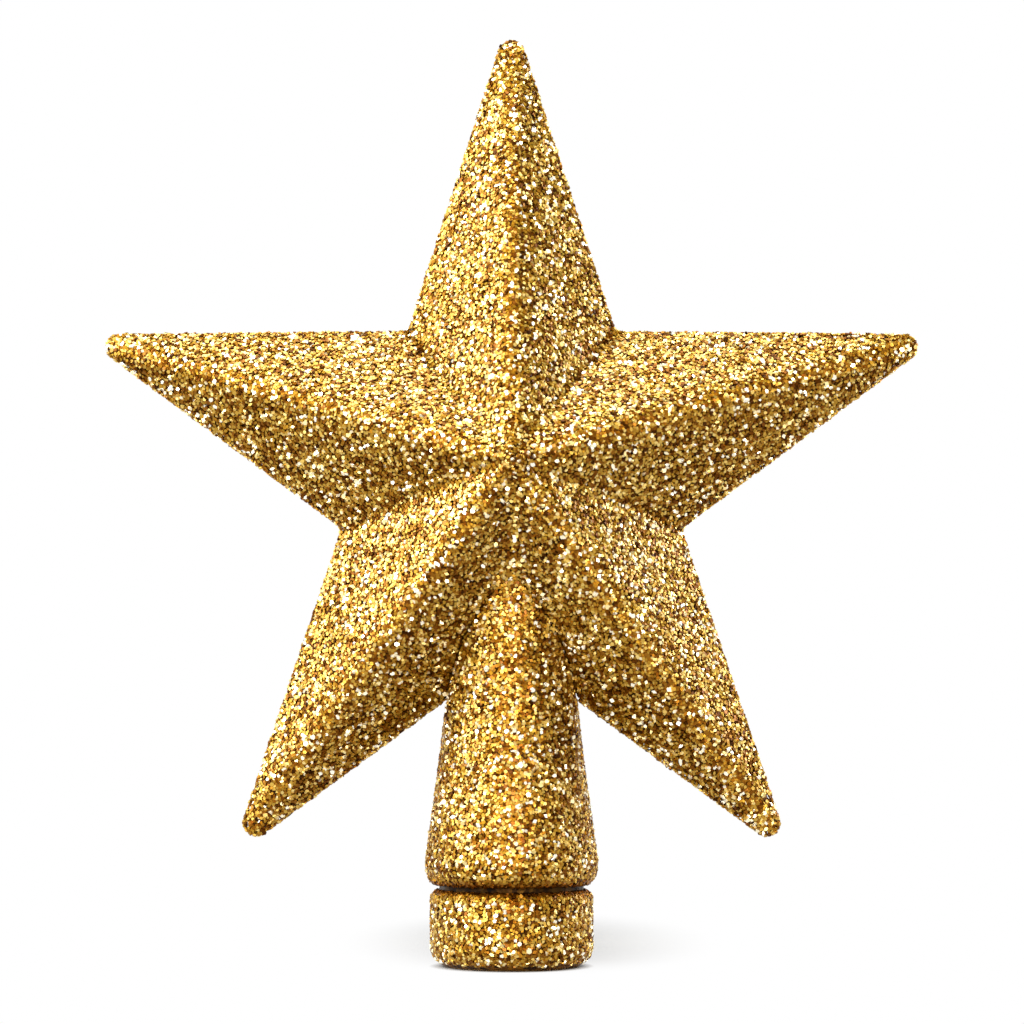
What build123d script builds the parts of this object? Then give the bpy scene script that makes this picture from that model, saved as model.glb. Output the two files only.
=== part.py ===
from build123d import *
import math
import os

# Christmas tree topper: a hollow five-pointed star on a flared neck, moulded in two halves that
# meet on the XZ plane, with a collar over the neck's foot and a coat of coarse glitter outside.
# Millimetres. +Z is up, the star faces -Y, and the origin is at the middle of the collar's foot.

# Collar, measured over the glitter
COLLAR_RADIUS = 17.3
COLLAR_HEIGHT = 16.2
COLLAR_TOP_ROUND = 2.2
COLLAR_FOOT_ROUND = 4.3
COLLAR_WALL = 1.15
COLLAR_FIT = 0.1  # radial clearance on the spigot
COAT_START = 0.9  # the collar's glitter begins this far above its foot
MOUTH_LAND = 4.0  # height of the inner lip that is the mouth of the socket
MOUTH_LIP = 2.1  # how far the lip stands in from the spigot's bore
MOUTH_CHAMFER = 0.6
SNAP_RISE = 0.35  # bead on the spigot that clicks into the collar
SNAP_WIDTH = 1.6
SNAP_FIT = 0.1

# Neck, measured over the glitter
COLLAR_GAP = 0.8  # open groove between the collar and the foot of the neck
FOOT_OVERHANG = 1.1  # the foot stands out this far past the collar
FOOT_EDGE_DRAW = 2.0  # and is drawn in this far at its lower edge
FOOT_BULGE = 5.2  # lower edge of the foot to its widest place
FOOT_KNEE_RISE = 2.2  # where the lower edge begins to turn under, above it
FOOT_KNEE_DRAW = 0.35  # and how far the foot is drawn in there
NECK_LENGTH = 68.7  # widest place of the foot to the closed top inside the star
NECK_TOP_RADIUS = 10.7
WAIST_DRAW = 0.6  # hollow of the flare, measured from a straight cone

# Star, measured over the glitter
STAR_CENTRE_RISE = 13.7  # from the top of the neck to the star's centre
TOP_REACH = 102.8  # centre to the sharp corner of the top point
SIDE_REACH = 98.8  # the same for the two side points
LOWER_REACH = 101.9  # and for the two lower points
NOTCH_REACH = 38.5  # centre to the sharp inner corners
FACET_DEPTH = 27.0  # how far the facets would rise if they ran on to the centre
RIM_LAND = 0.8  # half the width of the flat band along the seam
POINT_RADIUS = 3.0
NOTCH_RADIUS = 2.0
CROWN_SHARE = 0.22  # size of the outline at which the facets give way to the crown

# Walls and coats
SHELL_WALL = 1.8
COAT = 0.7
GLUE_FILM = 0.05
LEAST_RADIUS = 0.6  # inner corners never get sharper than this
ROUNDED_SHARE = 0.6  # a point's rounding takes up no more than this share of its edges

# Branch grip
GRIP_FIT = 0.1
GRIP_WALL = 1.0
FLANGE_HEIGHT = 1.5
FLANGE_RIM = 1.6  # how far the flange stands out from the ring
CATCH_HEIGHT = 1.4  # ring above the flange that keeps it from rising
CATCH_RISE = 0.7
FINGER_LENGTH = 26.0
FINGER_TIP_RADIUS = 5.5
FINGER_WALL = 1.2
FINGER_COUNT = 6
SLOT_WIDTH = 3.4

# Seam between the halves
TONGUE_WIDTH = 0.7
TONGUE_HEIGHT = 1.0
TONGUE_TIP_RADIUS = 4.0  # rounder than the shell's own points, which are too thin for a tongue
GROOVE_FIT = 0.1
CEMENT_HEIGHT = 0.3
CEMENT_FIT = 0.03
SEAM_NECK_CLEAR = 2.0  # the tongue stops this far from the neck
PIN_PAST_NOTCH = 13.5  # the locating pins stand this much further out than the notches
PIN_RADIUS = 1.2
PIN_LENGTH = 3.0
PIN_FIT = 0.1
PIN_SOCKET_SPARE = 0.5
BOSS_WALL = 1.3

# Layers, from the visible surface inwards
SHELL_COVER = COAT + GLUE_FILM
CAVITY_COVER = SHELL_COVER + SHELL_WALL

# Heights, from the collar's foot upwards
FOOT_BOTTOM = COLLAR_HEIGHT + COLLAR_GAP
FOOT_HEIGHT = FOOT_BOTTOM + FOOT_BULGE
WAIST_HEIGHT = FOOT_HEIGHT + NECK_LENGTH / 2
NECK_TOP = FOOT_HEIGHT + NECK_LENGTH
STAR_CENTRE_HEIGHT = NECK_TOP + STAR_CENTRE_RISE
SNAP_HEIGHT = (MOUTH_LAND + COLLAR_HEIGHT) / 2
SHOULDER = FOOT_BOTTOM + CAVITY_COVER  # ledge in the neck that carries the grip's flange
CATCH_BOTTOM = SHOULDER + FLANGE_HEIGHT + GRIP_FIT
CATCH_TOP = CATCH_BOTTOM + CATCH_HEIGHT

# Radii about the neck's axis
COLLAR_BORE = COLLAR_RADIUS - SHELL_COVER - COLLAR_WALL
SPIGOT_RADIUS = COLLAR_BORE - COLLAR_FIT
SPIGOT_BORE = SPIGOT_RADIUS - SHELL_WALL
MOUTH_RADIUS = SPIGOT_BORE - MOUTH_LIP
FOOT_RADIUS = COLLAR_RADIUS + FOOT_OVERHANG
FOOT_EDGE_RADIUS = FOOT_RADIUS - FOOT_EDGE_DRAW
WAIST_RADIUS = (FOOT_RADIUS + NECK_TOP_RADIUS) / 2 - WAIST_DRAW
GRIP_RADIUS = SPIGOT_BORE - GRIP_FIT
FLANGE_RADIUS = GRIP_RADIUS + FLANGE_RIM
CHANNEL_RADIUS = FLANGE_RADIUS + GRIP_FIT

# The star's outline and facets
POINT_REACHES = [TOP_REACH, SIDE_REACH, LOWER_REACH, LOWER_REACH, SIDE_REACH]
POINTS = len(POINT_REACHES)
POINT_STEP = 360 / POINTS
HALF_STEP = math.radians(POINT_STEP / 2)
EDGE_LENGTH = math.hypot(
    TOP_REACH - NOTCH_REACH * math.cos(HALF_STEP),
    NOTCH_REACH * math.sin(HALF_STEP),
)
EDGE_DISTANCE = TOP_REACH * NOTCH_REACH * math.sin(HALF_STEP) / EDGE_LENGTH
HALF_TIP_ANGLE = math.asin(EDGE_DISTANCE / TOP_REACH)
FACET_SLOPE = math.atan2(FACET_DEPTH, EDGE_DISTANCE)
SHELL_INSET = SHELL_COVER / math.sin(FACET_SLOPE)
SEAM_WIDTH = SHELL_WALL / math.sin(FACET_SLOPE)
GROOVE_DEPTH = TONGUE_HEIGHT + CEMENT_HEIGHT
GROOVE_LEAN = (GROOVE_DEPTH - RIM_LAND) / math.tan(FACET_SLOPE)  # the facets close in over the groove
TONGUE_INSET = (SEAM_WIDTH - TONGUE_WIDTH + GROOVE_LEAN) / 2
PIN_REACH = NOTCH_REACH + PIN_PAST_NOTCH
BOSS_RADIUS = PIN_RADIUS + PIN_FIT + BOSS_WALL


def on_profile(radius, height):
    """A point of a turned profile, in the XZ plane."""
    return (radius, 0, height)


def turned(edges, arc=360):
    """A closed profile in the XZ plane turned about Z; half a turn fills the front side."""
    face = make_face(edges)
    if arc < 360:
        face = Rot(0, 0, -arc) * face
    return revolve(face, axis=Axis.Z, revolution_arc=arc)


def tube(outer, inner, bottom, top, arc=360):
    """A plain tube about Z."""
    corners = [
        on_profile(inner, bottom),
        on_profile(outer, bottom),
        on_profile(outer, top),
        on_profile(inner, top),
    ]
    return turned(Polyline(*corners, close=True).edges(), arc)


def ring_bead(radius, rise, width, height, arc=360):
    """A half-round ring on a turned wall, standing out by its rise."""
    lower = on_profile(radius, height - width / 2)
    crest = on_profile(radius + rise, height)
    upper = on_profile(radius, height + width / 2)
    return turned([Line(lower, upper), ThreePointArc(upper, crest, lower)], arc)


def star_corners(share):
    """The sharp corners of the star's outline about its centre, tips and notches in turn."""
    corners = []
    for point, reach in enumerate(POINT_REACHES):
        tip_angle = math.radians(90 + point * POINT_STEP)
        for angle, distance in ((tip_angle, reach), (tip_angle + HALF_STEP, NOTCH_REACH)):
            corners.append((share * distance * math.cos(angle), share * distance * math.sin(angle)))
    return corners


def tip_radius(share, inset):
    """How round the points are at a share of the star's size, drawn in by the inset."""
    room = ROUNDED_SHARE * share * EDGE_LENGTH * math.tan(HALF_TIP_ANGLE)
    return min(max(POINT_RADIUS - inset, LEAST_RADIUS), room)


def star_outline(share, point_radius, notch_radius, depth):
    """The star's outline at a share of its size, rounded, at a depth in front of the seam."""
    radii = [point_radius, notch_radius] * POINTS
    plane = Plane(origin=(0, -depth, STAR_CENTRE_HEIGHT), x_dir=(1, 0, 0), z_dir=(0, -1, 0))
    line = FilletPolyline(*star_corners(share), radius=radii, close=True)
    return plane * make_face(line)


def front_star(cover):
    """The front half of the star, its skin lying by the cover below the visible one."""
    inset = cover / math.sin(FACET_SLOPE)
    rim_share = 1 - inset / EDGE_DISTANCE
    rim_radius = tip_radius(rim_share, inset)
    crown_radius = tip_radius(CROWN_SHARE, inset)
    notch_radius = NOTCH_RADIUS + inset
    # The crown carries the top point's ridge on to the middle.
    blunting = 1 / math.sin(HALF_TIP_ANGLE) - 1
    rim_reach = rim_share * TOP_REACH - blunting * rim_radius
    crown_reach = CROWN_SHARE * TOP_REACH - blunting * crown_radius
    crown_rise = FACET_DEPTH * (rim_share - CROWN_SHARE)
    apex_rise = crown_rise * rim_reach / (rim_reach - crown_reach)
    sections = [
        star_outline(rim_share, rim_radius, notch_radius, 0),
        star_outline(rim_share, rim_radius, notch_radius, RIM_LAND),
        star_outline(CROWN_SHARE, crown_radius, notch_radius, RIM_LAND + crown_rise),
        Vertex(0, -RIM_LAND - apex_rise, STAR_CENTRE_HEIGHT),
    ]
    return loft(sections, ruled=True)


def flared(cover, foot):
    """The front half of the flared neck, closed below by the foot's edges from the axis outwards."""
    top = NECK_TOP - cover
    axis_bottom = foot[0] @ 0
    widest = on_profile(FOOT_RADIUS - cover, FOOT_HEIGHT)
    waist = on_profile(WAIST_RADIUS - cover, WAIST_HEIGHT)
    shoulder = on_profile(NECK_TOP_RADIUS - cover, top)
    axis_top = on_profile(0, top)
    flare = [
        ThreePointArc(widest, waist, shoulder),
        Line(shoulder, axis_top),
        Line(axis_top, axis_bottom),
    ]
    return turned(foot + flare, arc=180)


def front_neck(cover):
    """The front half of the solid neck, its skin lying by the cover below the visible one."""
    bottom = FOOT_BOTTOM + cover
    axis_bottom = on_profile(0, bottom)
    edge = on_profile(FOOT_EDGE_RADIUS - cover, bottom)
    knee = on_profile(FOOT_RADIUS - FOOT_KNEE_DRAW - cover, bottom + FOOT_KNEE_RISE)
    widest = on_profile(FOOT_RADIUS - cover, FOOT_HEIGHT)
    side = TangentArc(widest, knee, tangent=(0, 0, -1))
    turn_under = TangentArc(knee, edge, tangent=side % 1)
    return flared(cover, [Line(axis_bottom, edge), turn_under, side])


def neck_hollow():
    """The front half of the room inside the neck's wall, straight below the flare."""
    axis_bottom = on_profile(0, FOOT_BOTTOM)
    corner = on_profile(FOOT_RADIUS - CAVITY_COVER, FOOT_BOTTOM)
    widest = on_profile(FOOT_RADIUS - CAVITY_COVER, FOOT_HEIGHT)
    return flared(CAVITY_COVER, [Line(axis_bottom, corner), Line(corner, widest)])


def front_outside(cover):
    """Star and neck together, front half."""
    return front_star(cover) + front_neck(cover)


def front_socket():
    """The hollow of the neck, front half: spigot bore, channel for the flange, catch and tube."""
    bore = tube(SPIGOT_BORE, 0, MOUTH_LAND, SHOULDER, arc=180)
    channel = tube(CHANNEL_RADIUS, 0, SHOULDER, CATCH_BOTTOM, arc=180)
    catch = tube(FLANGE_RADIUS - CATCH_RISE, 0, CATCH_BOTTOM, CATCH_TOP, arc=180)
    above_catch = tube(FOOT_RADIUS, 0, CATCH_TOP, NECK_TOP)
    return bore + channel + catch + (neck_hollow() & above_catch)


def pin_places():
    """The middle of each locating pin on the seam, one in each arm."""
    places = []
    for point in range(POINTS):
        angle = math.radians(90 + point * POINT_STEP)
        height = STAR_CENTRE_HEIGHT + PIN_REACH * math.sin(angle)
        places.append((PIN_REACH * math.cos(angle), height))
    return places


def seam_rod(place, radius, start, end):
    """A round rod across the seam, from one Y to another."""
    x, z = place
    middle = Pos(x, (start + end) / 2, z) * Rot(90, 0, 0)
    return middle * Cylinder(radius, abs(end - start))


def seam_band(inset, width, start, end):
    """A band along the star's rim, drawn in from the shell's edge and cut away at the neck."""
    outer_inset = SHELL_INSET + inset
    inner_inset = outer_inset + width
    tip = TONGUE_TIP_RADIUS + TONGUE_INSET - inset
    notch = NOTCH_RADIUS + outer_inset
    outer = star_outline(1 - outer_inset / EDGE_DISTANCE, tip, notch, -start)
    inner = star_outline(1 - inner_inset / EDGE_DISTANCE, tip - width, notch + width, -start)
    band = extrude(outer - inner, amount=end - start, dir=(0, 1, 0))
    neck_room = Pos(0, 0, STAR_CENTRE_HEIGHT) * Box(
        2 * (WAIST_RADIUS + SEAM_NECK_CLEAR),
        2 * (end + CEMENT_HEIGHT),
        TOP_REACH,
        align=(Align.CENTER, Align.CENTER, Align.MAX),
    )
    return band - neck_room


def front_moulding():
    """What the two halves have in common: skin, spigot, socket and bosses, on the front side."""
    skin = front_outside(SHELL_COVER)
    spigot = tube(SPIGOT_RADIUS, 0, MOUTH_LAND, SHOULDER, arc=180)
    snap_bead = ring_bead(SPIGOT_RADIUS, SNAP_RISE, SNAP_WIDTH, SNAP_HEIGHT, arc=180)
    hollow = front_star(CAVITY_COVER) - front_neck(SHELL_COVER)
    for place in pin_places():
        hollow = hollow - seam_rod(place, BOSS_RADIUS, 0, -FACET_DEPTH)
    return skin + spigot + snap_bead - hollow - front_socket()


def front_shell(moulding):
    """The half with the tongue and the pins."""
    shell = moulding + seam_band(TONGUE_INSET, TONGUE_WIDTH, 0, TONGUE_HEIGHT)
    for place in pin_places():
        shell = shell + seam_rod(place, PIN_RADIUS, -PIN_LENGTH, PIN_LENGTH)
    return shell


def rear_shell(moulding):
    """The half with the groove and the pin sockets."""
    groove_width = TONGUE_WIDTH + 2 * GROOVE_FIT
    shell = mirror(moulding, about=Plane.XZ)
    shell = shell - seam_band(TONGUE_INSET - GROOVE_FIT, groove_width, 0, GROOVE_DEPTH)
    for place in pin_places():
        shell = shell - seam_rod(place, PIN_RADIUS + PIN_FIT, 0, PIN_LENGTH + PIN_SOCKET_SPARE)
    return shell


def seam_cement():
    """The cement left between the tongue's end and the bottom of the groove."""
    side_room = GROOVE_FIT - CEMENT_FIT
    return seam_band(TONGUE_INSET - side_room, TONGUE_WIDTH + 2 * side_room, TONGUE_HEIGHT, GROOVE_DEPTH)


def front_coat():
    """The glitter over the front half, ending on the spigot in the groove above the collar."""
    spigot_room = tube(SPIGOT_RADIUS + GLUE_FILM, 0, MOUTH_LAND, SHOULDER, arc=180)
    return front_outside(0) - front_outside(COAT) - spigot_room


def collar_drum(cover):
    """The collar's outside as a solid drum, its skin lying by the cover below the visible one."""
    radius = COLLAR_RADIUS - cover
    top = COLLAR_HEIGHT - cover
    top_round = max(COLLAR_TOP_ROUND - cover, LEAST_RADIUS)
    foot_round = max(COLLAR_FOOT_ROUND - cover, LEAST_RADIUS)
    corners = [on_profile(0, 0), on_profile(radius, 0), on_profile(radius, top), on_profile(0, top)]
    return turned(FilletPolyline(*corners, radius=[0, foot_round, top_round, 0], close=True).edges())


def end_collar():
    """The band over the spigots, with an inner lip that is the mouth of the socket."""
    corners = [
        on_profile(0, 0),
        on_profile(MOUTH_RADIUS + MOUTH_CHAMFER, 0),
        on_profile(MOUTH_RADIUS, MOUTH_CHAMFER),
        on_profile(MOUTH_RADIUS, MOUTH_LAND),
        on_profile(COLLAR_BORE, MOUTH_LAND),
        on_profile(COLLAR_BORE, COLLAR_HEIGHT),
        on_profile(0, COLLAR_HEIGHT),
    ]
    inside = turned(Polyline(*corners, close=True).edges())
    snap_groove = ring_bead(COLLAR_BORE, SNAP_RISE, SNAP_WIDTH + 2 * SNAP_FIT, SNAP_HEIGHT)
    return collar_drum(SHELL_COVER) - inside - snap_groove


def collar_coat():
    """The glitter round the collar and over its top edge."""
    bare_foot = tube(COLLAR_RADIUS, 0, 0, COAT_START)
    spigot_room = tube(COLLAR_BORE, 0, 0, COLLAR_HEIGHT)
    return collar_drum(0) - collar_drum(COAT) - bare_foot - spigot_room


def branch_grip():
    """Ring and flange trapped in the neck, with sprung fingers that lean in to hold the shoot."""
    bore = GRIP_RADIUS - GRIP_WALL
    flange_top = SHOULDER + FLANGE_HEIGHT
    tip_height = flange_top + FINGER_LENGTH
    ring = tube(GRIP_RADIUS, bore, MOUTH_LAND + GRIP_FIT, flange_top)
    flange = tube(FLANGE_RADIUS, bore, SHOULDER, flange_top)
    corners = [
        on_profile(bore, flange_top),
        on_profile(bore + FINGER_WALL, flange_top),
        on_profile(FINGER_TIP_RADIUS + FINGER_WALL, tip_height),
        on_profile(FINGER_TIP_RADIUS, tip_height),
    ]
    fingers = turned(Polyline(*corners, close=True).edges())
    slot = Pos(0, 0, flange_top) * Box(
        FLANGE_RADIUS,
        SLOT_WIDTH,
        FINGER_LENGTH,
        align=(Align.MIN, Align.CENTER, Align.MIN),
    )
    for finger in range(FINGER_COUNT):
        fingers = fingers - Rot(0, 0, finger * 360 / FINGER_COUNT) * slot
    return ring + flange + fingers


def main():
    """Writes each piece to its own file."""
    os.makedirs("parts", exist_ok=True)
    moulding = front_moulding()
    coat = front_coat()
    pieces = {
        "front_shell": front_shell(moulding),
        "rear_shell": rear_shell(moulding),
        "seam_cement": seam_cement(),
        "branch_grip": branch_grip(),
        "end_collar": end_collar(),
        "front_glitter_coat": coat,
        "rear_glitter_coat": mirror(coat, about=Plane.XZ),
        "collar_glitter_coat": collar_coat(),
    }
    for name, piece in pieces.items():
        export_step(piece, f"parts/{name}.step")


main()
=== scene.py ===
import math
import random

import bmesh
import bpy
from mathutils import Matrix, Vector
from mathutils.bvhtree import BVHTree


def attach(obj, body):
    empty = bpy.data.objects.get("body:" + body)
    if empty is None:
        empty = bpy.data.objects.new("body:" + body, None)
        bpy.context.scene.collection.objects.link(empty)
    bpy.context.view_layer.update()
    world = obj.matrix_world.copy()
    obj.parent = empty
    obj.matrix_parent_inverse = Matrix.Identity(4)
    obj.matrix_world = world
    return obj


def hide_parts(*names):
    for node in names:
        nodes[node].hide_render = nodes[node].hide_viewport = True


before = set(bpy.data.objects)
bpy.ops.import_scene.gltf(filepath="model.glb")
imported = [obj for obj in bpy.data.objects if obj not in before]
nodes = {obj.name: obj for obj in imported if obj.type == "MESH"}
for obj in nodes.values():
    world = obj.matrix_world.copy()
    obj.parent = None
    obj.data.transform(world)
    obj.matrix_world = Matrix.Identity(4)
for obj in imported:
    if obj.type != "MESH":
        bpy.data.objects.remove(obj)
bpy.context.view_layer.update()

# A tree topper star covered in coarse gold glitter, on white paper in soft studio light. The shells,
# the collar, the grip and the cement keep their own shapes, and chips of film stand for the coats.

scene = bpy.context.scene
scene.view_settings.view_transform = "Standard"

MM = 0.001
STAR_CENTRE = 104.6 * MM  # its height
GROOVE = 16.6 * MM        # height of the middle of the groove above the collar


def linear(hex_colour):
    """An sRGB hex colour as the linear colour that a socket takes."""
    parts = [int(hex_colour[i:i + 2], 16) / 255 for i in (1, 3, 5)]
    return [p / 12.92 if p <= 0.04045 else ((p + 0.055) / 1.055) ** 2.4 for p in parts] + [1.0]


def add(tree, kind, settings=None, stops=(), **inputs):
    """A node with its settings, and a colour ramp's stops, each a place and a hex colour.

    An input, by name or place, takes a number, a colour or another node's output.
    """
    made = tree.nodes.new(kind)
    for name, value in (settings or {}).items():
        setattr(made, name, value)
    for _ in stops[2:]:
        made.color_ramp.elements.new(1.0)
    for number, (place, colour) in enumerate(stops):
        made.color_ramp.elements[number].position = place
        made.color_ramp.elements[number].color = linear(colour)
    for name, value in inputs.items():
        socket = made.inputs[int(name[1:]) if name[1:].isdigit() else name.replace("_", " ")]
        if isinstance(value, bpy.types.NodeSocket):
            tree.links.new(value, socket)
        else:
            socket.default_value = value
    return made


def new_material(name):
    """An empty material and its node tree."""
    material = bpy.data.materials.new(name)
    material.use_nodes = True
    material.node_tree.nodes.clear()
    return material, material.node_tree


# Metallised film
# Cut film in clear glue: every chip is a small crinkled mirror with a gold tint of its own, from dark
# amber to nearly white, and the paler a chip is, the more its glue shines.

FILM_TINTS = [
    (0.03, "#3a1c02"), (0.15, "#703e04"), (0.35, "#92620c"),
    (0.55, "#aa801c"), (0.75, "#c8a446"), (0.86, "#e2c674"),
    (0.90, "#f4e0a2"), (0.925, "#fdf4d6"), (0.97, "#fffbea"),
]
FILM_CRINKLE = 0.45 * MM
FILM_DENT = 0.06 * MM

film, tree = new_material("metallised_film_glitter")
mark = add(tree, "ShaderNodeAttribute", {"attribute_name": "chip_place"})
lot = add(tree, "ShaderNodeSeparateXYZ", Vector=mark.outputs["Vector"])
tint = add(tree, "ShaderNodeValToRGB", stops=FILM_TINTS, Fac=lot.outputs["X"])
dulled = add(tree, "ShaderNodeMapRange", Value=lot.outputs["Y"], To_Min=0.38, To_Max=0.58)
shine = add(tree, "ShaderNodeMapRange", Value=lot.outputs["X"],
            From_Min=0.1, From_Max=0.7, To_Min=0.05, To_Max=0.5)
place = add(tree, "ShaderNodeTexCoord")
crinkle = add(tree, "ShaderNodeTexNoise", Vector=place.outputs["Object"],
              Scale=1 / FILM_CRINKLE, Detail=1.0)
dents = add(tree, "ShaderNodeBump", Strength=0.8, Distance=FILM_DENT, Height=crinkle.outputs["Fac"])
shader = add(tree, "ShaderNodeBsdfPrincipled", Metallic=1.0, Coat_Roughness=0.25,
             Base_Color=tint.outputs["Color"], Roughness=dulled.outputs["Result"],
             Coat_Weight=shine.outputs["Result"], Normal=dents.outputs["Normal"])
add(tree, "ShaderNodeOutputMaterial", Surface=shader.outputs["BSDF"])


# Lacquered polystyrene
# Moulded polystyrene under sprayed gold lacquer, with the lowest chips of film stuck flat on it: what shows
# between the upper chips is dark amber, broken up into chips of its own, and darkened towards the groove as
# painted shade. No lacquer reached the inside of the socket, so the bare moulding shows there.

LACQUER_TINTS = [(0.1, "#2e1802"), (0.5, "#6a4008"), (0.9, "#a06c18")]
MOULDING_TINTS = [(0.3, "#b98f45"), (0.7, "#c9a258")]
FLAT_CHIP = 1.0 * MM
FLAT_CHIP_RISE = 0.15 * MM
MOULDING_MOTTLE = 1.5 * MM
GROOVE_SHADE_EDGE = 0.8 * MM      # the painted groove shade is darkest up to this far from its middle
GROOVE_SHADE_FADE = 2.5 * MM      # and the painted shade ends past this
GROOVE_SHADE_DARKEST = 0.15
SOCKET_FOOT = 20 * MM
SOCKET_FOOT_RADIUS = 14.4 * MM
SOCKET_TOP = 90 * MM
SOCKET_TOP_RADIUS = 9.0 * MM
SOCKET_END = 87 * MM        # the closed end of the socket lies above this

lacquer, tree = new_material("gold_lacquer_on_polystyrene")
place = add(tree, "ShaderNodeTexCoord")
where = add(tree, "ShaderNodeSeparateXYZ", Vector=place.outputs["Object"])
flakes = add(tree, "ShaderNodeTexVoronoi", Vector=place.outputs["Object"], Scale=1 / FLAT_CHIP)
lots = add(tree, "ShaderNodeSeparateColor", Color=flakes.outputs["Color"])
spray = add(tree, "ShaderNodeValToRGB", stops=LACQUER_TINTS, Fac=lots.outputs["Red"])
# Painted shade: the lacquer's colour is darkened towards the middle of the groove.
above = add(tree, "ShaderNodeMath", {"operation": "SUBTRACT"}, _0=where.outputs["Z"], _1=GROOVE)
apart = add(tree, "ShaderNodeMath", {"operation": "ABSOLUTE"}, _0=above.outputs["Value"])
groove_shade = add(tree, "ShaderNodeMapRange", Value=apart.outputs["Value"],
            From_Min=GROOVE_SHADE_EDGE, From_Max=GROOVE_SHADE_FADE, To_Min=GROOVE_SHADE_DARKEST, To_Max=1.0)
groove_shaded = add(tree, "ShaderNodeVectorMath", {"operation": "SCALE"},
           _0=spray.outputs["Color"], Scale=groove_shade.outputs["Result"])
across = add(tree, "ShaderNodeCombineXYZ", X=where.outputs["X"], Y=where.outputs["Y"])
radius = add(tree, "ShaderNodeVectorMath", {"operation": "LENGTH"}, _0=across.outputs["Vector"])
bore = add(tree, "ShaderNodeMapRange", Value=where.outputs["Z"],
           From_Min=SOCKET_FOOT, From_Max=SOCKET_TOP, To_Min=SOCKET_FOOT_RADIUS, To_Max=SOCKET_TOP_RADIUS)
within = add(tree, "ShaderNodeMath", {"operation": "LESS_THAN"},
             _0=radius.outputs["Value"], _1=bore.outputs["Result"])
low = add(tree, "ShaderNodeMath", {"operation": "LESS_THAN"}, _0=where.outputs["Z"], _1=SOCKET_END)
inside = add(tree, "ShaderNodeMath", {"operation": "MULTIPLY"},
             _0=within.outputs["Value"], _1=low.outputs["Value"])
mottle = add(tree, "ShaderNodeTexNoise", Vector=place.outputs["Object"],
             Scale=1 / MOULDING_MOTTLE, Detail=3.0)
moulding = add(tree, "ShaderNodeValToRGB", stops=MOULDING_TINTS, Fac=mottle.outputs["Fac"])
shown = add(tree, "ShaderNodeMix", {"data_type": "RGBA"}, _0=inside.outputs["Value"],
            _6=groove_shaded.outputs["Vector"], _7=moulding.outputs["Color"])
dulled = add(tree, "ShaderNodeMapRange", Value=lots.outputs["Green"], To_Min=0.35, To_Max=0.6)
raised = add(tree, "ShaderNodeBump", Strength=0.6, Distance=FLAT_CHIP_RISE,
             Height=flakes.outputs["Distance"])
shader = add(tree, "ShaderNodeBsdfPrincipled", Metallic=0.9, Base_Color=shown.outputs[2],
             Roughness=dulled.outputs["Result"], Normal=raised.outputs["Normal"])
add(tree, "ShaderNodeOutputMaterial", Surface=shader.outputs["BSDF"])


# Natural polyethylene
# Moulded without a pigment, it is milky, waxy and a little clouded.

MILK_TINTS = [(0.3, "#dcd5c3"), (0.7, "#ece8dc")]
MILK_CLOUD = 4 * MM
WAX_GRAIN = 0.5 * MM       # drawn coarser than it is, so that it shows
WAX_GRAIN_DEPTH = 0.04 * MM
MILK_DEPTH = (2 * MM, 1.6 * MM, 1.2 * MM)  # how far red, green and blue light goes in

waxy, tree = new_material("natural_polyethylene")
place = add(tree, "ShaderNodeTexCoord")
cloud = add(tree, "ShaderNodeTexNoise", Vector=place.outputs["Object"], Scale=1 / MILK_CLOUD, Detail=3.0)
milk = add(tree, "ShaderNodeValToRGB", stops=MILK_TINTS, Fac=cloud.outputs["Fac"])
grain = add(tree, "ShaderNodeTexNoise", Vector=place.outputs["Object"], Scale=1 / WAX_GRAIN, Detail=2.0)
worn = add(tree, "ShaderNodeMapRange", Value=grain.outputs["Fac"], To_Min=0.38, To_Max=0.52)
satin = add(tree, "ShaderNodeBump", Strength=0.3, Distance=WAX_GRAIN_DEPTH, Height=grain.outputs["Fac"])
shader = add(tree, "ShaderNodeBsdfPrincipled", Subsurface_Weight=0.2, Subsurface_Scale=1.0,
             Subsurface_Radius=MILK_DEPTH, Base_Color=milk.outputs["Color"],
             Roughness=worn.outputs["Result"], Normal=satin.outputs["Normal"])
add(tree, "ShaderNodeOutputMaterial", Surface=shader.outputs["BSDF"])


# Set solvent cement
# Poured and dried, it is glassy and yellowish, with small bubbles.

CEMENT_TINTS = [(0.1, "#e8d9a8"), (0.6, "#cdb87c")]
BUBBLE = 0.4 * MM
BUBBLE_DEPTH = 0.03 * MM

cement, tree = new_material("set_solvent_cement")
place = add(tree, "ShaderNodeTexCoord")
bubbles = add(tree, "ShaderNodeTexVoronoi", Vector=place.outputs["Object"], Scale=1 / BUBBLE)
amber = add(tree, "ShaderNodeValToRGB", stops=CEMENT_TINTS, Fac=bubbles.outputs["Distance"])
glaze = add(tree, "ShaderNodeMapRange", Value=bubbles.outputs["Distance"], To_Min=0.15, To_Max=0.3)
pits = add(tree, "ShaderNodeBump", Strength=0.3, Distance=BUBBLE_DEPTH, Height=bubbles.outputs["Distance"])
shader = add(tree, "ShaderNodeBsdfPrincipled", Base_Color=amber.outputs["Color"],
             Roughness=glaze.outputs["Result"], Normal=pits.outputs["Normal"])
add(tree, "ShaderNodeOutputMaterial", Surface=shader.outputs["BSDF"])

FINISHES = {
    "front_shell": lacquer,
    "rear_shell": lacquer,
    "end_collar": lacquer,
    "branch_grip": waxy,
    "seam_cement": cement,
}
for name, material in FINISHES.items():
    nodes[name].data.materials.clear()
    nodes[name].data.materials.append(material)


# Chips of glitter

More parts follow.
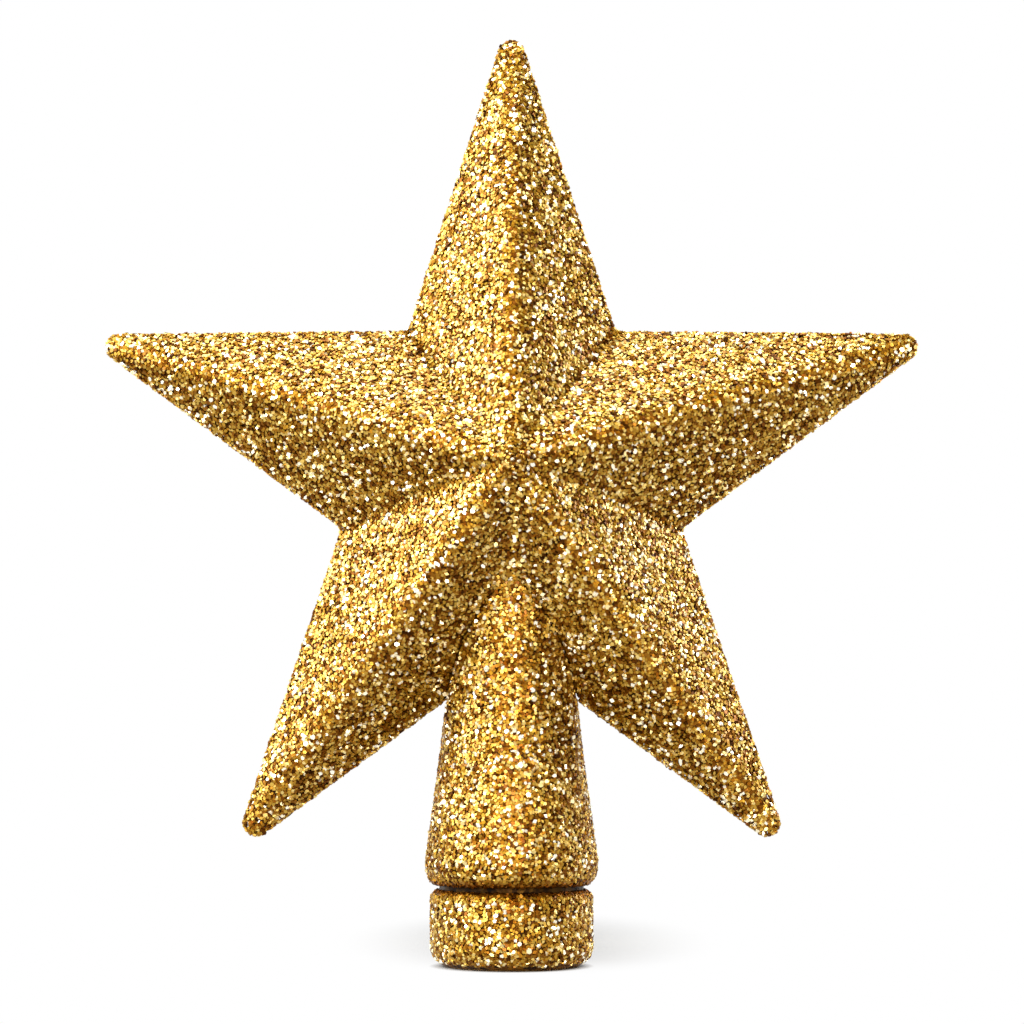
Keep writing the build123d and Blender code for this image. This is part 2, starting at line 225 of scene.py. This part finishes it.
CHIP_SIZE = 0.95 * MM      # across the widest of an average chip
CHIP_THICK = 0.34 * MM
CHIP_SUNK = 0.16 * MM      # how far the middle of a chip's top lies under the coat's outside
CHIP_SIDES = (4, 5, 6)
CHIP_SHAPES = 6
CHIP_TOP = (0.43, 0.47)    # radius of a chip's top, as a share of its size
CHIP_RAGGED = 0.05         # how far its corners are off, as a share of its size
CHART_PATCH = 0.012        # the width of the patch that a chip takes up on the texture chart
ARMS = {"top_arm": 90, "left_arm": 162, "lower_left_arm": 234, "lower_right_arm": 306, "right_arm": 18}
PIECES = [f"{side}_{area}_glitter" for side in ("front", "rear") for area in [*ARMS, "neck"]]
PIECES.append("collar_glitter")
NECK_TOP = 70 * MM         # the neck's own glitter ends at this height
NECK_REACH = 19 * MM       # and no further than this to either side
SEAM_NEAR = 0.02 * MM      # faces this near to the seam
SEAM_SQUARE = 0.9          # that face it this squarely, as a cosine, lie inside it
COVERED_BY = 0.3 * MM      # faces with a wall this near in front of them are covered
WELD = 0.001 * MM
rng = random.Random(7)


def cut_chip(number):
    """One chip of film under its blob of glue: a low, uneven block with a flat top."""
    mesh = bpy.data.meshes.new(f"chip_{number}")
    bm = bmesh.new()
    bmesh.ops.create_cone(bm, cap_ends=True, cap_tris=False, segments=CHIP_SIDES[number % len(CHIP_SIDES)],
                          radius1=CHIP_SIZE / 2, radius2=CHIP_SIZE * rng.uniform(*CHIP_TOP), depth=CHIP_THICK)
    for corner in bm.verts:
        corner.co.x += CHIP_SIZE * rng.uniform(-CHIP_RAGGED, CHIP_RAGGED)
        corner.co.y += CHIP_SIZE * rng.uniform(-CHIP_RAGGED, CHIP_RAGGED)
    bmesh.ops.translate(bm, vec=(0, 0, -CHIP_THICK / 2 - CHIP_SUNK), verts=bm.verts)
    chart = bm.loops.layers.uv.new("OFBake")
    for face in bm.faces:
        for loop in face.loops:
            loop[chart].uv = loop.vert.co.xy * (CHART_PATCH / CHIP_SIZE)
    bm.to_mesh(mesh)
    bm.free()
    return bpy.data.objects.new(f"chip_{number}", mesh)


def piece_at(side, middle):
    """The piece of glitter that a coat's face goes to, by its side and the face's middle."""
    if side == "collar":
        return "collar_glitter"
    if middle.z < NECK_TOP and abs(middle.x) < NECK_REACH:
        return f"{side}_neck_glitter"
    bearing = math.degrees(math.atan2(middle.z - STAR_CENTRE, middle.x))
    nearest = min(ARMS, key=lambda arm: abs((bearing - ARMS[arm] + 180) % 360 - 180))
    return f"{side}_{nearest}_glitter"


def coat_outside():
    """The outer faces of the three coats as one sheet, each face numbered with the piece it goes to."""
    walls = []
    for name in ("front_shell", "rear_shell", "end_collar"):
        bm = bmesh.new()
        bm.from_mesh(nodes[name].data)
        walls.append(BVHTree.FromBMesh(bm))
        bm.free()
    sheet = bmesh.new()
    part = sheet.faces.layers.int.new("part")
    for side in ("front", "rear", "collar"):
        known = set(sheet.faces)
        sheet.from_mesh(nodes[f"{side}_glitter_coat"].data)
        for face in set(sheet.faces) - known:
            face[part] = PIECES.index(piece_at(side, face.calc_center_median()))
    sheet.normal_update()
    hidden = []
    for face in sheet.faces:
        middle = face.calc_center_median()
        on_seam = abs(middle.y) < SEAM_NEAR and abs(face.normal.y) > SEAM_SQUARE
        if on_seam or any(wall.ray_cast(middle, face.normal, COVERED_BY)[0] for wall in walls):
            hidden.append(face)
    bmesh.ops.delete(sheet, geom=hidden, context="FACES")
    bmesh.ops.remove_doubles(sheet, verts=sheet.verts, dist=WELD)
    mesh = bpy.data.meshes.new("coat_outside")
    sheet.to_mesh(mesh)
    sheet.free()
    return bpy.data.objects.new("coat_outside", mesh)


chips = bpy.data.collections.new("chips")
for number in range(CHIP_SHAPES):
    chips.objects.link(cut_chip(number))
sheet = coat_outside()
scene.collection.objects.link(sheet)


# Strewing the chips
# Each chip draws a lot: X is its tint and Y its dullness, and they also give its place on the chart.

CHIP_SPACING = 0.52 * MM             # least distance between two chips' middles
CHIP_DENSITY = 30e6                  # the most chips to try on a square metre
CHIP_UNEVEN = 0.18 * MM              # how far a chip may lie above or below its neighbours
CHIP_TILT = math.radians(14)
CHIP_SMALLEST = (0.62, 0.62, 0.7)    # width, length and thickness, as shares of the average
CHIP_LARGEST = (1.2, 1.2, 1.2)
LOT_LOW, LOT_HIGH = 0.03, 0.97       # so that no chip's patch leaves the chart
LOOSE_FROM, LOOSE_TO = 0.78, 0.88    # between these lots the chips begin to lie loose
LOOSE_LEAN = 2.4                     # and then lean this many times as much
WIDE_FROM, WIDE_TO = 0.82, 0.9       # between these lots the chips grow
WIDE_SIZE = 1.2
CHIP_SHADE_EDGE = 0.4 * MM                 # chips are painted in shade up to this far from the middle of the groove
CHIP_SHADE_FADE = 3.0 * MM
CHIP_SHADE_LOT = 0.08                      # the palest lot left to a chip in the painted shade
SEEDS = {"spots": 3, "lean": 11, "size": 12, "shape": 13, "lot": 14, "level": 15}

strew = bpy.data.node_groups.new("strew_chips", "GeometryNodeTree")
strew.interface.new_socket("Geometry", in_out="INPUT", socket_type="NodeSocketGeometry")
strew.interface.new_socket("Geometry", in_out="OUTPUT", socket_type="NodeSocketGeometry")

# The spots of one piece: those on the faces that carry its number
start = add(strew, "NodeGroupInput")
spots = add(strew, "GeometryNodeDistributePointsOnFaces", {"distribute_method": "POISSON"},
            Mesh=start.outputs[0], Distance_Min=CHIP_SPACING, Density_Max=CHIP_DENSITY, Seed=SEEDS["spots"])
part = add(strew, "GeometryNodeInputNamedAttribute", {"data_type": "INT"}, Name="part")
other = add(strew, "FunctionNodeCompare", {"data_type": "INT", "operation": "NOT_EQUAL"},
            _2=part.outputs["Attribute"])
kept = add(strew, "GeometryNodeDeleteGeometry", {"domain": "POINT"},
           Geometry=spots.outputs["Points"], Selection=other.outputs["Result"])
level = add(strew, "FunctionNodeRandomValue", {"data_type": "FLOAT"},
            _2=-CHIP_UNEVEN, _3=CHIP_UNEVEN, Seed=SEEDS["level"])
rise = add(strew, "ShaderNodeVectorMath", {"operation": "SCALE"},
           _0=spots.outputs["Normal"], Scale=level.outputs[1])
heaped = add(strew, "GeometryNodeSetPosition", Geometry=kept.outputs["Geometry"], Offset=rise.outputs[0])

# The pale chips lie loosest, so they lean the most, and they are also the largest.
lot = add(strew, "FunctionNodeRandomValue", {"data_type": "FLOAT_VECTOR"},
          _0=(LOT_LOW, LOT_LOW, 0), _1=(LOT_HIGH, LOT_HIGH, 0), Seed=SEEDS["lot"])
drawn = add(strew, "ShaderNodeSeparateXYZ", Vector=lot.outputs[0])
lean = add(strew, "FunctionNodeRandomValue", {"data_type": "FLOAT_VECTOR"},
           _0=(-CHIP_TILT, -CHIP_TILT, 0), _1=(CHIP_TILT, CHIP_TILT, math.tau), Seed=SEEDS["lean"])
loose = add(strew, "ShaderNodeMapRange", Value=drawn.outputs["X"],
            From_Min=LOOSE_FROM, From_Max=LOOSE_TO, To_Min=1.0, To_Max=LOOSE_LEAN)
spread = add(strew, "ShaderNodeCombineXYZ", X=loose.outputs["Result"], Y=loose.outputs["Result"], Z=1.0)
leaning = add(strew, "ShaderNodeVectorMath", {"operation": "MULTIPLY"},
              _0=lean.outputs[0], _1=spread.outputs["Vector"])
turn = add(strew, "FunctionNodeEulerToRotation", Euler=leaning.outputs["Vector"])
aimed = add(strew, "FunctionNodeRotateRotation", {"rotation_space": "LOCAL"},
            Rotation=spots.outputs["Rotation"], Rotate_By=turn.outputs[0])
size = add(strew, "FunctionNodeRandomValue", {"data_type": "FLOAT_VECTOR"},
           _0=CHIP_SMALLEST, _1=CHIP_LARGEST, Seed=SEEDS["size"])
stretch = add(strew, "ShaderNodeMapRange", Value=drawn.outputs["X"],
              From_Min=WIDE_FROM, From_Max=WIDE_TO, To_Min=1.0, To_Max=WIDE_SIZE)
sized = add(strew, "ShaderNodeVectorMath", {"operation": "SCALE"},
            _0=size.outputs[0], Scale=stretch.outputs["Result"])
shape = add(strew, "FunctionNodeRandomValue", {"data_type": "INT"},
            _4=0, _5=CHIP_SHAPES - 1, Seed=SEEDS["shape"])
pool = add(strew, "GeometryNodeCollectionInfo", Collection=chips, Separate_Children=True, Reset_Children=True)
laid = add(strew, "GeometryNodeInstanceOnPoints", Points=heaped.outputs["Geometry"],
           Instance=pool.outputs[0], Pick_Instance=True, Instance_Index=shape.outputs[2],
           Rotation=aimed.outputs[0], Scale=sized.outputs["Vector"])

# Painted shade: chips in and beside the groove get only dark tints, so none of them is pale.
position = add(strew, "GeometryNodeInputPosition")
where = add(strew, "ShaderNodeSeparateXYZ", Vector=position.outputs[0])
above = add(strew, "ShaderNodeMath", {"operation": "SUBTRACT"}, _0=where.outputs["Z"], _1=GROOVE)
apart = add(strew, "ShaderNodeMath", {"operation": "ABSOLUTE"}, _0=above.outputs["Value"])
shaded_palest = add(strew, "ShaderNodeMapRange", Value=apart.outputs["Value"],
             From_Min=CHIP_SHADE_EDGE, From_Max=CHIP_SHADE_FADE, To_Min=CHIP_SHADE_LOT, To_Max=1.0)
shade_capped = add(strew, "ShaderNodeMath", {"operation": "MINIMUM"},
             _0=drawn.outputs["X"], _1=shaded_palest.outputs["Result"])
mark = add(strew, "ShaderNodeCombineXYZ", X=shade_capped.outputs["Value"], Y=drawn.outputs["Y"])
marked = add(strew, "GeometryNodeStoreNamedAttribute", {"data_type": "FLOAT_VECTOR", "domain": "INSTANCE"},
             Geometry=laid.outputs[0], Name="chip_place", Value=mark.outputs["Vector"])

# Each chip's patch of the chart goes where its lot is.
solid = add(strew, "GeometryNodeRealizeInstances", Geometry=marked.outputs[0])
own = add(strew, "GeometryNodeInputNamedAttribute", {"data_type": "FLOAT_VECTOR"}, Name="chip_place")
patch = add(strew, "GeometryNodeInputNamedAttribute", {"data_type": "FLOAT_VECTOR"}, Name="OFBake")
moved = add(strew, "ShaderNodeVectorMath", {"operation": "ADD"},
            _0=own.outputs["Attribute"], _1=patch.outputs["Attribute"])
charted = add(strew, "GeometryNodeStoreNamedAttribute", {"data_type": "FLOAT2", "domain": "CORNER"},
              Geometry=solid.outputs[0], Name="OFBake", Value=moved.outputs["Vector"])
add(strew, "NodeGroupOutput", _0=charted.outputs[0])
sheet.modifiers.new("strew", "NODES").node_group = strew

for number, name in enumerate(PIECES):
    other.inputs[3].default_value = number
    bpy.context.view_layer.update()
    mesh = bpy.data.meshes.new_from_object(sheet.evaluated_get(bpy.context.evaluated_depsgraph_get()))
    mesh.name = name
    mesh.materials.clear()
    mesh.materials.append(film)
    piece = bpy.data.objects.new(name, mesh)
    scene.collection.objects.link(piece)
    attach(piece, "root")
    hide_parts(name.split("_")[0] + "_glitter_coat")
bpy.data.objects.remove(sheet)


# Floor and backdrop

STAGE_RADIUS = 4.0
STAGE_SIDES = 96
WALL_HEIGHT = 1.6


def stage_piece(name, bm):
    """A card of the studio, from its bmesh."""
    mesh = bpy.data.meshes.new(name)
    bm.to_mesh(mesh)
    bm.free()
    card = bpy.data.objects.new(name, mesh)
    scene.collection.objects.link(card)
    return card


bm = bmesh.new()
bmesh.ops.create_circle(bm, cap_ends=True, segments=STAGE_SIDES, radius=STAGE_RADIUS)
floor = stage_piece("floor", bm)
bm = bmesh.new()
bmesh.ops.create_circle(bm, segments=STAGE_SIDES, radius=STAGE_RADIUS)
risen = bmesh.ops.extrude_edge_only(bm, edges=bm.edges)["geom"]
rim = [v for v in risen if isinstance(v, bmesh.types.BMVert)]
bmesh.ops.translate(bm, vec=(0, 0, WALL_HEIGHT), verts=rim)
backdrop = stage_piece("backdrop", bm)


# White paper
# Matt paper, which the camera and reflections see as plain white. Close round the foot and in an oval behind
# it, a little to the right, the white fades into the grey paper: the oval is a painted shadow, with the
# lamps' real shade in it.

SHADE_X, SHADE_Y = 4 * MM, 84 * MM               # the middle of the oval
SHADE_REACH_X, SHADE_REACH_Y = 45 * MM, 106 * MM
SHADE_END = 1.05                                 # share of its reach at which the oval has faded out
FOOT_SHADE, FOOT_SHADE_END = 14.5 * MM, 17.5 * MM

paper, tree = new_material("white_paper")
path = add(tree, "ShaderNodeLightPath")
direct = add(tree, "ShaderNodeMath", {"operation": "MAXIMUM"},
             _0=path.outputs["Is Camera Ray"], _1=path.outputs["Is Glossy Ray"])
seen = add(tree, "ShaderNodeMath", {"operation": "MAXIMUM"},
           _0=direct.outputs["Value"], _1=path.outputs["Is Transmission Ray"])
place = add(tree, "ShaderNodeTexCoord")
oval = add(tree, "ShaderNodeMapping", Vector=place.outputs["Object"],
           Location=(-SHADE_X / SHADE_REACH_X, -SHADE_Y / SHADE_REACH_Y, 0),
           Scale=(1 / SHADE_REACH_X, 1 / SHADE_REACH_Y, 1))
off_oval = add(tree, "ShaderNodeVectorMath", {"operation": "LENGTH"}, _0=oval.outputs["Vector"])
past_oval = add(tree, "ShaderNodeMapRange", {"interpolation_type": "SMOOTHSTEP"},
                Value=off_oval.outputs["Value"], From_Max=SHADE_END)
off_foot = add(tree, "ShaderNodeVectorMath", {"operation": "LENGTH"}, _0=place.outputs["Object"])
past_foot = add(tree, "ShaderNodeMapRange", Value=off_foot.outputs["Value"],
                From_Min=FOOT_SHADE, From_Max=FOOT_SHADE_END)
fade = add(tree, "ShaderNodeMath", {"operation": "MULTIPLY"},
           _0=past_oval.outputs["Result"], _1=past_foot.outputs["Result"])
white = add(tree, "ShaderNodeMath", {"operation": "MULTIPLY"},
            _0=seen.outputs["Value"], _1=fade.outputs["Value"])
matt = add(tree, "ShaderNodeBsdfPrincipled", Base_Color=linear("#968f87"), Roughness=0.9,
           Specular_IOR_Level=0.0)
glow = add(tree, "ShaderNodeEmission", Color=linear("#ffffff"), Strength=1.0)
both = add(tree, "ShaderNodeMixShader", _0=white.outputs["Value"],
           _1=matt.outputs["BSDF"], _2=glow.outputs["Emission"])
add(tree, "ShaderNodeOutputMaterial", Surface=both.outputs["Shader"])
for card in (floor, backdrop):
    card.data.materials.append(paper)


# Light and camera

MIDDLE = (0, 0, 0.11)
FOOT_RIGHT = (0.03, 0, 0.07)
COOL = "#e6f2ff"
WARM = "#fff0dc"
ROOM_LIGHT = 0.08


def softbox(name, at, aim, size, colour, power):
    """An oblong lamp at a place, aimed at another."""
    data = bpy.data.lights.new(name, "AREA")
    data.shape = "RECTANGLE"
    data.size, data.size_y = size
    data.energy = power
    data.color = linear(colour)[:3]
    lamp = bpy.data.objects.new(name, data)
    lamp.location = at
    lamp.rotation_euler = (Vector(aim) - Vector(at)).to_track_quat("-Z", "Y").to_euler()
    scene.collection.objects.link(lamp)


softbox("key_left", (-0.81, -0.27, 0.48), MIDDLE, (0.70, 0.70), COOL, 21.0)
softbox("overhead", (0, -0.10, 0.95), MIDDLE, (0.7, 0.45), COOL, 13.4)
softbox("front_low", (0, -0.95, 0.30), MIDDLE, (0.5, 0.3), WARM, 10.2)
softbox("right_fill", (0.34, 0.09, 0.20), FOOT_RIGHT, (0.2, 0.2), COOL, 1.85)

world = bpy.data.worlds.new("studio")
world.use_nodes = True
world.node_tree.nodes["Background"].inputs["Color"].default_value = linear("#ffffff")
world.node_tree.nodes["Background"].inputs["Strength"].default_value = ROOM_LIGHT
scene.world = world

camera = bpy.data.objects.new("camera", bpy.data.cameras.new("camera"))
camera.location = (0.0001, -0.520, 0.0427)
camera.rotation_euler = (math.radians(95.89), 0, 0)
camera.data.sensor_width = 36
camera.data.lens = 85.4
camera.data.clip_start = 0.01
scene.collection.objects.link(camera)
scene.camera = camera
